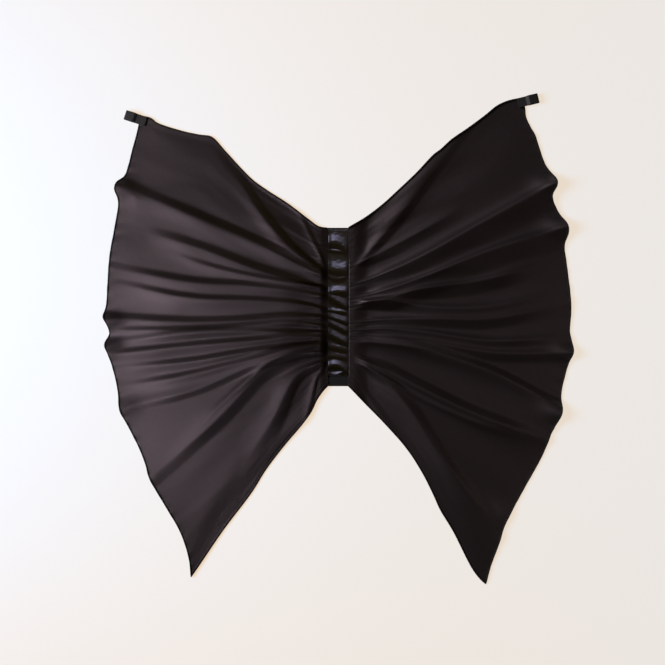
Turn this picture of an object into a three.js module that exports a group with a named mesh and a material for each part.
// Costume bat wings, spread flat on a surface: two silk wings with rolled hems, gathered on to a
// centre strip of elastic, a ruched satin strip that covers the seam, and a ribbon finger loop
// at each upper corner. Millimetres, +Z up. X runs across the wings and +Y towards the loops.
// The origin is the middle of the elastic's underside, which lies on the surface.

import * as THREE from 'three';
import { mergeVertices } from 'three/addons/utils/BufferGeometryUtils.js';

// Driving dimensions
const wingSpan = 800;
const gatheredLength = 270;
const leftRise = 192;
const leftDrop = 327;
const rightRise = 222;
const rightDrop = 339;
const pieceGap = 0.3;
const silkThickness = 1.3;
const satinThickness = 1.4;

const elasticWidth = 38;
const elasticThickness = 1.5;

const stripWidth = 33;
const stripTopMargin = 3;
const stripBottomMargin = 17;
const stripPuff = 2.2;
const stripFoldHeight = 2.8;
const stripFoldWidth = 5.5;
const stripEndTaper = 6;
const stripSideShare = 0.35;

const hemWidth = 3;
const hemHeight = 2.2;

const ribbonWidth = 16;
const ribbonThickness = 1.2;
const loopReach = 24;
const loopHeight = 8;
const loopTipHeight = 6.8;
const loopBend = 6;
const loopTail = 13;

// Mesh density
const wingColumns = 14;
const wingRows = 60;
const columnCrowding = 1.25;
const stripColumns = 6;
const stripRows = 50;
const loopCurveSegments = 5;

// The wings start beside the strip and reach out to half the span.
const seamX = stripWidth / 2 + pieceGap;
const wingReach = wingSpan / 2 - seamX;
const seatHeight = elasticThickness + pieceGap;

// Folds: how high the main ones are, how far their sides spread from a rounded crest, and the lifts
// of the rim between them
const foldHeight = 8;
const foldWidth = 10;
const crestRadius = 1.6;
const liftHeight = 10;
const liftWidth = 40;
const elasticSlope = 12;

// Folds near the gathers: the shares of a fold's width and height that are left there
const gatherWidth = 0.5;
const gatherCrest = 0.85;

// Places along a fold as shares of its run, and zones as shares of the wing's reach
const runPlaces = [0, 0.15, 0.35, 0.65, 1];
const gatherZone = 0.22;
const foldEndZone = 0.18;

// Each wing is described as it lies to the right of the centre. In the edges, out is a share of the
// wing's reach, up a share of its rise above the gathers, down a share of its height from the loop's
// corner to the lower point, and drop a share of its fall below the gathers.
// In the folds, ends says how far out a fold runs, as a share of the reach, and gather, inner,
// middle, outer and rim say how far down its crest lies at the five runPlaces. Crest is its height
// as a share of foldHeight, up and down are the widths of its upper and lower side as shares of
// foldWidth, and hem is the share of its height left where it ends.
// In the lifts, down is a place on the outer edge, and height and width are shares of liftHeight
// and liftWidth.
const foldColumns = ['ends', 'gather', 'inner', 'middle', 'outer', 'rim', 'crest', 'up', 'down', 'hem'];
const namedRow = (row) => Object.fromEntries(foldColumns.map((name, i) => [name, row[i]]));
const foldTable = (rows) => rows.map(namedRow);

const leftFolds = foldTable([
  [0.12, 0.338, 0.322, 0.298, 0.264, 0.22, 0.5, 0.5, 0.8, 0.3],
  [0.1, 0.344, 0.334, 0.32, 0.302, 0.278, 0.4, 0.4, 0.7, 0],
  [0.45, 0.346, 0.326, 0.292, 0.218, 0.102, 0.75, 0.75, 1.4, 0.2],
  [0.84, 0.354, 0.326, 0.284, 0.23, 0.17, 0.85, 0.8, 1.6, 0.5],
  [0.83, 0.382, 0.364, 0.34, 0.294, 0.252, 0.85, 0.9, 1.8, 0],
  [0.72, 0.374, 0.368, 0.358, 0.336, 0.298, 0.35, 0.4, 0.8, 0],
  [0.93, 0.394, 0.384, 0.372, 0.362, 0.334, 0.8, 0.75, 1.5, 0.3],
  [0.93, 0.422, 0.408, 0.402, 0.396, 0.366, 0.65, 0.55, 1.2, 0.2],
  [0.95, 0.438, 0.438, 0.444, 0.448, 0.44, 0.8, 0.75, 1.3, 0.6],
  [0.96, 0.458, 0.45, 0.456, 0.464, 0.466, 0.5, 0.4, 0.7, 0.5],
  [0.94, 0.47, 0.47, 0.468, 0.472, 0.49, 0.6, 0.45, 0.8, 0.3],
  [0.96, 0.48, 0.48, 0.488, 0.5, 0.518, 0.65, 0.5, 0.9, 0.8],
  [0.92, 0.488, 0.498, 0.51, 0.532, 0.548, 0.65, 0.5, 0.9, 0.3],
  [0.92, 0.496, 0.502, 0.526, 0.56, 0.588, 0.6, 0.5, 0.9, 0.2],
  [0.9, 0.51, 0.516, 0.538, 0.592, 0.63, 0.55, 0.9, 0.6, 0.3],
  [0.65, 0.5, 0.504, 0.524, 0.6, 0.708, 0.3, 0.6, 0.35, 0],
  [0.75, 0.51, 0.52, 0.546, 0.654, 0.768, 0.8, 1.2, 1, 0.4],
  [0.4, 0.532, 0.54, 0.562, 0.668, 0.768, 0.8, 1.4, 1.2, 0],
  [0.08, 0.534, 0.538, 0.55, 0.566, 0.618, 0.5, 0.8, 0.6, 0.5],
]);

const leftWing = {
  name: 'left',
  side: -1,
  rise: leftRise,
  drop: leftDrop,
  loopTilt: 18.4,
  flatBand: 0,
  topEdge: [
    { out: 0, up: 0 }, { out: 0.041, up: 0.013 }, { out: 0.085, up: 0.075 }, { out: 0.179, up: 0.217 },
    { out: 0.272, up: 0.337 }, { out: 0.336, up: 0.43 }, { out: 0.392, up: 0.542 },
    { out: 0.457, up: 0.684 }, { out: 0.517, up: 0.808 }, { out: 0.57, up: 0.826 },
    { out: 0.651, up: 0.861 }, { out: 0.762, up: 0.935 }, { out: 0.784, up: 0.972 },
    { out: 0.84, up: 1 },
  ],
  outerEdge: [
    { out: 0.84, down: 0 }, { out: 0.844, down: 0.023 }, { out: 0.872, down: 0.075 },
    { out: 0.891, down: 0.112 }, { out: 0.907, down: 0.132 }, { out: 0.935, down: 0.144 },
    { out: 0.946, down: 0.161 }, { out: 0.933, down: 0.185 }, { out: 0.949, down: 0.237 },
    { out: 0.972, down: 0.303 }, { out: 0.982, down: 0.372 }, { out: 0.988, down: 0.41 },
    { out: 1, down: 0.435 }, { out: 0.982, down: 0.452 }, { out: 0.972, down: 0.471 },
    { out: 0.992, down: 0.494 }, { out: 0.976, down: 0.517 }, { out: 0.954, down: 0.553 },
    { out: 0.937, down: 0.594 }, { out: 0.927, down: 0.636 }, { out: 0.89, down: 0.672 },
    { out: 0.843, down: 0.718 }, { out: 0.813, down: 0.755 }, { out: 0.795, down: 0.785 },
    { out: 0.72, down: 0.849 }, { out: 0.668, down: 0.892 }, { out: 0.639, down: 0.926 },
    { out: 0.619, down: 0.962 }, { out: 0.611, down: 1 },
  ],
  bottomEdge: [
    { out: 0, drop: 0 }, { out: 0.021, drop: 0.026 }, { out: 0.047, drop: 0.07 },
    { out: 0.072, drop: 0.131 }, { out: 0.108, drop: 0.191 }, { out: 0.201, drop: 0.321 },
    { out: 0.277, drop: 0.439 }, { out: 0.336, drop: 0.55 }, { out: 0.464, drop: 0.749 },
    { out: 0.575, drop: 0.94 }, { out: 0.611, drop: 1 },
  ],
  folds: leftFolds,
  lifts: [
    { down: 0.16, height: 0.9, width: 0.85 }, { down: 0.437, height: 0.8, width: 0.65 },
    { down: 0.495, height: 0.7, width: 0.55 }, { down: 0.63, height: 0.5, width: 0.85 },
  ],
};

const rightFolds = foldTable([
  [0.08, 0.402, 0.364, 0.302, 0.268, 0.246, 0.5, 0.6, 0.6, 0.3],
  [0.45, 0.352, 0.33, 0.282, 0.204, 0.106, 0.75, 1.6, 0.7, 0.3],
  [0.54, 0.35, 0.334, 0.308, 0.268, 0.22, 0.5, 0.9, 0.6, 0],
  [0.91, 0.388, 0.366, 0.328, 0.258, 0.178, 1, 1, 1.3, 0.8],
  [0.97, 0.414, 0.398, 0.368, 0.314, 0.266, 0.8, 1.2, 0.8, 0.7],
  [0.89, 0.418, 0.416, 0.394, 0.376, 0.336, 0.5, 0.8, 0.6, 0],
  [0.92, 0.43, 0.416, 0.428, 0.43, 0.4, 0.6, 0.9, 0.5, 0.1],
  [0.95, 0.462, 0.456, 0.454, 0.454, 0.424, 0.6, 1, 0.7, 0.2],
  [0.94, 0.478, 0.474, 0.48, 0.498, 0.492, 0.65, 0.5, 0.9, 0.3],
  [0.97, 0.488, 0.492, 0.5, 0.522, 0.524, 0.65, 0.6, 0.8, 0.7],
  [0.94, 0.5, 0.504, 0.516, 0.558, 0.634, 0.65, 0.8, 1, 0.7],
  [0.88, 0.53, 0.55, 0.592, 0.65, 0.7, 0.8, 0.9, 1, 0.3],
  [0.78, 0.535, 0.562, 0.604, 0.655, 0.7, 0.3, 0.35, 0.6, 0],
  [0.65, 0.53, 0.554, 0.612, 0.742, 0.874, 0.9, 1.2, 1.8, 0.3],
  [0.12, 0.52, 0.538, 0.57, 0.604, 0.632, 0.4, 0.5, 0.7, 0.5],
]);

const rightWing = {
  name: 'right',
  side: 1,
  rise: rightRise,
  drop: rightDrop,
  loopTilt: 13.7,
  flatBand: 11,
  topEdge: [
    { out: 0, up: 0 }, { out: 0.074, up: 0.078 }, { out: 0.151, up: 0.178 }, { out: 0.227, up: 0.297 },
    { out: 0.304, up: 0.423 }, { out: 0.38, up: 0.562 }, { out: 0.411, up: 0.602 },
    { out: 0.457, up: 0.675 }, { out: 0.534, up: 0.768 }, { out: 0.611, up: 0.867 },
    { out: 0.664, up: 0.94 }, { out: 0.717, up: 0.979 }, { out: 0.78, up: 1 },
  ],
  outerEdge: [
    { out: 0.78, down: 0 }, { out: 0.789, down: 0.022 }, { out: 0.793, down: 0.039 },
    { out: 0.813, down: 0.06 }, { out: 0.833, down: 0.076 }, { out: 0.852, down: 0.103 },
    { out: 0.88, down: 0.138 }, { out: 0.918, down: 0.165 }, { out: 0.922, down: 0.184 },
    { out: 0.906, down: 0.202 }, { out: 0.932, down: 0.232 }, { out: 0.966, down: 0.257 },
    { out: 0.977, down: 0.278 }, { out: 0.964, down: 0.303 }, { out: 0.973, down: 0.337 },
    { out: 0.989, down: 0.399 }, { out: 0.993, down: 0.441 }, { out: 0.988, down: 0.48 },
    { out: 1, down: 0.516 }, { out: 0.977, down: 0.553 }, { out: 0.951, down: 0.604 },
    { out: 0.947, down: 0.645 }, { out: 0.9, down: 0.694 }, { out: 0.866, down: 0.734 },
    { out: 0.773, down: 0.812 }, { out: 0.7, down: 0.875 }, { out: 0.67, down: 0.918 },
    { out: 0.636, down: 0.962 }, { out: 0.615, down: 1 },
  ],
  bottomEdge: [
    { out: 0, drop: 0 }, { out: 0.014, drop: 0.015 }, { out: 0.083, drop: 0.097 },
    { out: 0.142, drop: 0.164 }, { out: 0.193, drop: 0.226 }, { out: 0.241, drop: 0.287 },
    { out: 0.287, drop: 0.357 }, { out: 0.338, drop: 0.453 }, { out: 0.38, drop: 0.549 },
    { out: 0.408, drop: 0.619 }, { out: 0.466, drop: 0.728 }, { out: 0.551, drop: 0.916 },
    { out: 0.585, drop: 0.968 }, { out: 0.615, drop: 1 },
  ],
  folds: rightFolds,
  lifts: [
    { down: 0.18, height: 0.8, width: 0.75 }, { down: 0.27, height: 0.8, width: 0.8 },
    { down: 0.516, height: 0.8, width: 0.7 }, { down: 0.64, height: 0.9, width: 0.75 },
    { down: 0.86, height: 0.5, width: 0.75 },
  ],
};

// Gathers across the satin strip: at is a share of its length from the top, tilt turns the crest
// as a share of the strip's width, and crest and width are shares of stripFoldHeight and
// stripFoldWidth.
const stripGathers = [
  { at: 0.07, tilt: 0.18, crest: 1, width: 1 }, { at: 0.155, tilt: 0.1, crest: 0.64, width: 0.55 },
  { at: 0.25, tilt: 0.12, crest: 0.93, width: 0.91 }, { at: 0.325, tilt: -0.1, crest: 0.64, width: 0.65 },
  { at: 0.4, tilt: -0.05, crest: 0.86, width: 0.73 }, { at: 0.475, tilt: 0.28, crest: 0.93, width: 0.73 },
  { at: 0.545, tilt: 0.05, crest: 0.64, width: 0.55 }, { at: 0.595, tilt: 0.12, crest: 0.71, width: 0.55 },
  { at: 0.65, tilt: 0.22, crest: 0.86, width: 0.65 }, { at: 0.735, tilt: 0.25, crest: 0.93, width: 0.82 },
  { at: 0.82, tilt: 0.12, crest: 0.71, width: 0.62 }, { at: 0.88, tilt: -0.15, crest: 0.64, width: 0.62 },
  { at: 0.945, tilt: -0.2, crest: 1, width: 1 },
];

const { lerp, clamp, smoothstep, degToRad } = THREE.MathUtils;

const bell = (distance, width) => Math.exp(-((distance / width) ** 2));

function edgeCurve(points) {
  const curve = new THREE.CatmullRomCurve3(points, false, 'centripetal');
  curve.arcLengthDivisions = 400;
  return curve;
}

// The three free edges of a wing, each as a curve on the surface.
function wingEdges(wing) {
  const top = gatheredLength / 2 + wing.rise;
  const bottom = -gatheredLength / 2 - wing.drop;
  const point = (out, y) => new THREE.Vector3(seamX + wingReach * out, y, 0);
  return {
    top: edgeCurve(wing.topEdge.map((p) => point(p.out, lerp(gatheredLength / 2, top, p.up)))),
    outer: edgeCurve(wing.outerEdge.map((p) => point(p.out, lerp(top, bottom, p.down)))),
    bottom: edgeCurve(wing.bottomEdge.map((p) => point(p.out, lerp(-gatheredLength / 2, bottom, p.drop)))),
  };
}

// Stations round the free edges, from the gathers' top to their bottom, each with its place (u, v)
// on the cloth: u runs from the gathers to the outer edge, v from the top edge to the bottom edge.
function rimStations(edges) {
  const across = Array.from({ length: wingColumns + 1 }, (_, i) => (i / wingColumns) ** columnCrowding);
  const stations = across.map((u) => ({ u, v: 0, point: edges.top.getPointAt(u) }));
  for (let j = 1; j <= wingRows; j++) {
    const v = j / wingRows;
    stations.push({ u: 1, v, point: edges.outer.getPointAt(v) });
  }
  for (const u of across.slice(0, -1).reverse()) {
    stations.push({ u, v: 1, point: edges.bottom.getPointAt(u) });
  }
  return stations;
}

// The rim moved inwards by a distance, with mitred corners. Its two ends slide along the seam.
function insetRim(stations, distance) {
  const longestMitre = 3; // times the distance
  return stations.map(({ point }, k) => {
    const before = stations[k - 1]?.point;
    const after = stations[k + 1]?.point;
    const sides = [];
    if (before) sides.push(point.clone().sub(before).normalize());
    if (after) sides.push(after.clone().sub(point).normalize());
    if (sides.length === 1) {
      const slide = Math.min(distance / Math.abs(sides[0].x), longestMitre * distance);
      return new THREE.Vector3(point.x, point.y - Math.sign(point.y) * slide, 0);
    }
    const inward = sides.map((t) => new THREE.Vector3(t.y, -t.x, 0));
    const mitre = inward[0].clone().add(inward[1]).normalize();
    const length = Math.min(distance / Math.max(mitre.dot(inward[0]), 1e-3), longestMitre * distance);
    return point.clone().addScaledVector(mitre, length);
  });
}

// How far down a fold's crest lies, at a share of the reach.
function crestPlace(fold, out) {
  const at = runPlaces.map((place) => place * fold.ends);
  const down = [fold.gather, fold.inner, fold.middle, fold.outer, fold.rim];
  const last = at.length - 1;
  const slope = (i) => {
    const before = Math.max(i - 1, 0);
    const after = Math.min(i + 1, last);
    return (down[after] - down[before]) / (at[after] - at[before]);
  };
  if (out >= at[last]) return down[last] + slope(last) * (out - at[last]);
  const k = Math.max(at.findLastIndex((place) => place <= out), 0);
  const width = at[k + 1] - at[k];
  const t = clamp((out - at[k]) / width, 0, 1);
  const startShare = 2 * t ** 3 - 3 * t ** 2 + 1;
  const startSlope = (t ** 3 - 2 * t ** 2 + t) * width * slope(k);
  const endSlope = (t ** 3 - t ** 2) * width * slope(k + 1);
  return startShare * down[k] + (1 - startShare) * down[k + 1] + startSlope + endSlope;
}

// Height of the silk's underside above the surface, from the folds, the lifted rim and the elastic.
// Place is the point's place seen from above.
function silkHeight(wing, edges, u, v, place) {
  const peak = gatheredLength / 2 + wing.rise;
  const fall = wing.rise + gatheredLength + wing.drop;
  const inland = place.x - seamX;
  const out = clamp(inland / wingReach, 0, 1);
  const open = smoothstep(out, 0, gatherZone);
  const step = 0.01; // of the reach, to measure the crest's slope
  let height = 0;
  for (const fold of wing.folds) {
    const crest = peak - fall * crestPlace(fold, out);
    const slope = (fall * (crestPlace(fold, out + step) - crestPlace(fold, out))) / (step * wingReach);
    const distance = (crest - place.y) / Math.hypot(1, slope);
    const side = distance < 0 ? fold.up : fold.down;
    const width = foldWidth * lerp(gatherWidth * Math.min(side, 1), side, open);
    const fade = lerp(fold.hem, 1, 1 - smoothstep(out, fold.ends - foldEndZone, fold.ends));
    const beyond = 1 - smoothstep(out, fold.ends, fold.ends + foldEndZone);
    const rounded = Math.exp((crestRadius - Math.hypot(distance, crestRadius)) / width);
    height += fold.crest * foldHeight * lerp(gatherCrest, 1, open) * fade * beyond * rounded;
  }
  if (wing.flatBand > 0) height *= smoothstep(inland, 0.6 * wing.flatBand, 2.6 * wing.flatBand);
  const rimLength = edges.outer.getLength();
  for (const lift of wing.lifts) {
    const fromRim = (1 - u) * wingReach;
    const width = lift.width * liftWidth;
    height += lift.height * liftHeight * bell((v - lift.down) * rimLength, width / 2) * bell(fromRim, width);
  }
  const elasticEdge = elasticWidth / 2 + pieceGap;
  const offElastic = smoothstep(place.x, elasticEdge, elasticEdge + elasticSlope);
  return height + seatHeight * (1 - offElastic);
}

// A closed solid from a grid of points: each grid point gives its under side, and the upper side
// lies a thickness above it.
function clothSolid(grid, thickness, mirrored) {
  const rows = grid.length;
  const columns = grid[0].length;
  const positions = [];
  for (const lift of [0, thickness])
    for (const row of grid) for (const p of row) positions.push(p.x, p.y, p.z + lift);
  const under = (i, j) => i * columns + j;
  const upper = (i, j) => rows * columns + i * columns + j;
  const index = [];
  const quad = (a, b, c, d) => index.push(a, b, c, a, c, d);
  for (let i = 0; i < rows - 1; i++)
    for (let j = 0; j < columns - 1; j++) {
      quad(upper(i, j), upper(i, j + 1), upper(i + 1, j + 1), upper(i + 1, j));
      quad(under(i, j), under(i + 1, j), under(i + 1, j + 1), under(i, j + 1));
    }
  for (let j = 0; j < columns - 1; j++) {
    quad(under(0, j), under(0, j + 1), upper(0, j + 1), upper(0, j));
    quad(under(rows - 1, j + 1), under(rows - 1, j), upper(rows - 1, j), upper(rows - 1, j + 1));
  }
  const last = columns - 1;
  for (let i = 0; i < rows - 1; i++) {
    quad(under(i + 1, 0), under(i, 0), upper(i, 0), upper(i + 1, 0));
    quad(under(i, last), under(i + 1, last), upper(i + 1, last), upper(i, last));
  }
  return solidGeometry(positions, index, mirrored);
}

// A closed solid lofted through rings of equal count, with a flat cap on each end.
function loftedSolid(rings, mirrored) {
  const count = rings[0].length;
  const positions = rings.flat().flatMap((p) => [p.x, p.y, p.z]);
  const index = [];
  for (let r = 0; r < rings.length - 1; r++)
    for (let k = 0; k < count; k++) {
      const a = r * count + k;
      const b = r * count + ((k + 1) % count);
      index.push(a, b, b + count, a, b + count, a + count);
    }
  const last = (rings.length - 1) * count;
  for (let k = 1; k < count - 1; k++) {
    index.push(0, k + 1, k);
    index.push(last, last + k, last + k + 1);
  }
  return solidGeometry(positions, index, mirrored);
}

function solidGeometry(positions, index, mirrored) {
  const faces = mirrored ? index.toReversed() : index;
  const geometry = new THREE.BufferGeometry();
  geometry.setAttribute('position', new THREE.Float32BufferAttribute(positions, 3));
  geometry.setIndex(faces);
  const solid = mergeVertices(geometry);
  solid.computeVertexNormals();
  return solid;
}

// The silk panel and its rolled hem, which share their stations so that the hem follows the cloth.
function wingPieces(wing) {
  const edges = wingEdges(wing);
  const stations = rimStations(edges);
  const clothRim = insetRim(stations, hemWidth + pieceGap);
  const rimHeights = stations.map(({ u, v }, k) => silkHeight(wing, edges, u, v, clothRim[k]));
  const corner = wingColumns;
  const point = wingColumns + wingRows;
  const end = stations.length - 1;

  const grid = [];
  for (let i = 0; i <= wingColumns; i++) {
    const row = [];
    const { u } = stations[i];
    const onTop = clothRim[i];
    const onBottom = clothRim[end - i];
    for (let j = 0; j <= wingRows; j++) {
      const v = j / wingRows;
      const onOuter = clothRim[corner + j];
      const onSeam = clothRim[0].clone().lerp(clothRim[end], v);
      const betweenEdges = onTop.clone().lerp(onBottom, v).add(onSeam.clone().lerp(onOuter, u));
      const betweenCorners = clothRim[0].clone().lerp(clothRim[corner], u)
        .lerp(clothRim[end].clone().lerp(clothRim[point], u), v);
      const place = betweenEdges.sub(betweenCorners);
      const z = silkHeight(wing, edges, u, v, place);
      row.push(new THREE.Vector3(place.x * wing.side, place.y, z));
    }
    grid.push(row);
  }

  // Section of the rolled hem: in is a share of its width from the outside, up a share of its height.
  const section = [
    { in: 0, up: 0.5 }, { in: 0.25, up: 1 }, { in: 0.75, up: 1 },
    { in: 1, up: 0.5 }, { in: 0.75, up: 0 }, { in: 0.25, up: 0 },
  ];
  const rims = section.map((p) => insetRim(stations, hemWidth * p.in));
  const rings = stations.map((_, k) => section.map((p, s) => {
    const rim = rims[s][k];
    return new THREE.Vector3(rim.x * wing.side, rim.y, rimHeights[k] + hemHeight * p.up);
  }));
  const mirrored = wing.side < 0;
  return {
    silk: clothSolid(grid, silkThickness, mirrored),
    hem: loftedSolid(rings, mirrored),
    edges,
    cornerHeight: rimHeights[corner],
  };
}

// A ribbon folded into a loop and sewn double on to the wing's upper corner. Its outline is drawn
// from the side, outwards along x, and drawn out by the ribbon's width.
function fingerLoop(tilt) {
  const seat = hemHeight + pieceGap;
  const tailTop = seat + 2 * ribbonThickness;
  const bendStart = (ribbonWidth / 2) * Math.tan(tilt) + pieceGap; // clear of the slanting hem
  const bendEnd = bendStart + loopBend;
  const bendMiddle = (bendStart + bendEnd) / 2;
  const outerRadius = loopTipHeight / 2;
  const innerRadius = outerRadius - ribbonThickness;
  const turn = loopReach - outerRadius;
  const outline = new THREE.Shape();
  outline.moveTo(-loopTail, seat);
  outline.lineTo(bendStart, seat);
  outline.quadraticCurveTo(bendMiddle, 0, bendEnd, 0);
  outline.lineTo(turn, 0);
  outline.absarc(turn, outerRadius, outerRadius, -Math.PI / 2, Math.PI / 2, false);
  outline.lineTo(bendEnd, loopHeight);
  outline.quadraticCurveTo(bendMiddle, loopHeight, bendStart, tailTop);
  outline.lineTo(-loopTail, tailTop);
  outline.closePath();

  const eye = new THREE.Path();
  const eyeStart = bendStart + ribbonThickness;
  const eyeMiddle = bendMiddle + ribbonThickness;
  const eyeEnd = bendEnd + ribbonThickness;
  const floor = ribbonThickness;
  const ceiling = loopHeight - ribbonThickness;
  eye.moveTo(eyeStart, (seat + tailTop) / 2);
  eye.quadraticCurveTo(eyeMiddle, floor, eyeEnd, floor);
  eye.lineTo(turn, floor);
  eye.absarc(turn, outerRadius, innerRadius, -Math.PI / 2, Math.PI / 2, false);
  eye.lineTo(eyeEnd, ceiling);
  eye.quadraticCurveTo(eyeMiddle, ceiling, eyeStart, (seat + tailTop) / 2);
  outline.holes.push(eye);

  const geometry = new THREE.ExtrudeGeometry(outline, {
    depth: ribbonWidth, steps: 1, bevelEnabled: false, curveSegments: loopCurveSegments,
  });
  geometry.translate(0, 0, -ribbonWidth / 2);
  geometry.rotateX(Math.PI / 2);
  return geometry;
}

// The satin strip over the seam: flat at its stitched sides, puffed and gathered between them.
function ruchedStrip() {
  const top = gatheredLength / 2 - stripTopMargin;
  const length = gatheredLength - stripTopMargin - stripBottomMargin;
  const grid = [];
  for (let j = 0; j <= stripColumns; j++) {
    const across = (2 * j) / stripColumns - 1;
    const row = [];
    for (let i = 0; i <= stripRows; i++) {
      const down = i / stripRows;
      const inside = 1 - across ** 4;
      const ends = smoothstep(Math.min(down, 1 - down) * length, 0, stripEndTaper);
      let puff = stripPuff * inside;
      for (const gather of stripGathers) {
        const distance = (down - gather.at) * length - (gather.tilt * across * stripWidth) / 2;
        const crest = gather.crest * stripFoldHeight * lerp(stripSideShare, 1, inside);
        puff += crest * bell(distance, gather.width * stripFoldWidth);
      }
      row.push(new THREE.Vector3((across * stripWidth) / 2, top - down * length, seatHeight + puff * ends));
    }
    grid.push(row);
  }
  return clothSolid(grid, satinThickness, false);
}

const clothFinish = (color, roughness) =>
  new THREE.MeshStandardMaterial({ color, roughness, metalness: 0, flatShading: true });

const silkFinish = clothFinish(0x2b2628, 0.55);
const hemFinish = clothFinish(0x151314, 0.8);
const satinFinish = clothFinish(0x24222f, 0.35);
const elasticFinish = clothFinish(0x141213, 0.9);
const ribbonFinish = clothFinish(0x262327, 0.4);

function namedMesh(name, geometry, material) {
  const mesh = new THREE.Mesh(geometry, material);
  mesh.name = name;
  return mesh;
}

const batWings = new THREE.Group();

const elastic = namedMesh(
  'centre_elastic', new THREE.BoxGeometry(elasticWidth, gatheredLength, elasticThickness), elasticFinish);
elastic.position.z = elasticThickness / 2;
batWings.add(elastic);
batWings.add(namedMesh('ruched_strip', ruchedStrip(), satinFinish));

for (const wing of [leftWing, rightWing]) {
  const { silk, hem, edges, cornerHeight } = wingPieces(wing);
  batWings.add(namedMesh(`silk_wing_${wing.name}`, silk, silkFinish));
  batWings.add(namedMesh(`rolled_hem_${wing.name}`, hem, hemFinish));

  // The loop's ribbon is centred on the short stretch of rim just below the upper corner.
  const seatPoint = edges.outer.getPointAt(ribbonWidth / 2 / edges.outer.getLength());
  const tilt = degToRad(wing.loopTilt);
  const loop = namedMesh(`finger_loop_${wing.name}`, fingerLoop(tilt), ribbonFinish);
  loop.rotation.z = wing.side > 0 ? tilt : Math.PI - tilt;
  loop.position.set(seatPoint.x * wing.side, seatPoint.y, cornerHeight);
  batWings.add(loop);
}

export default batWings;
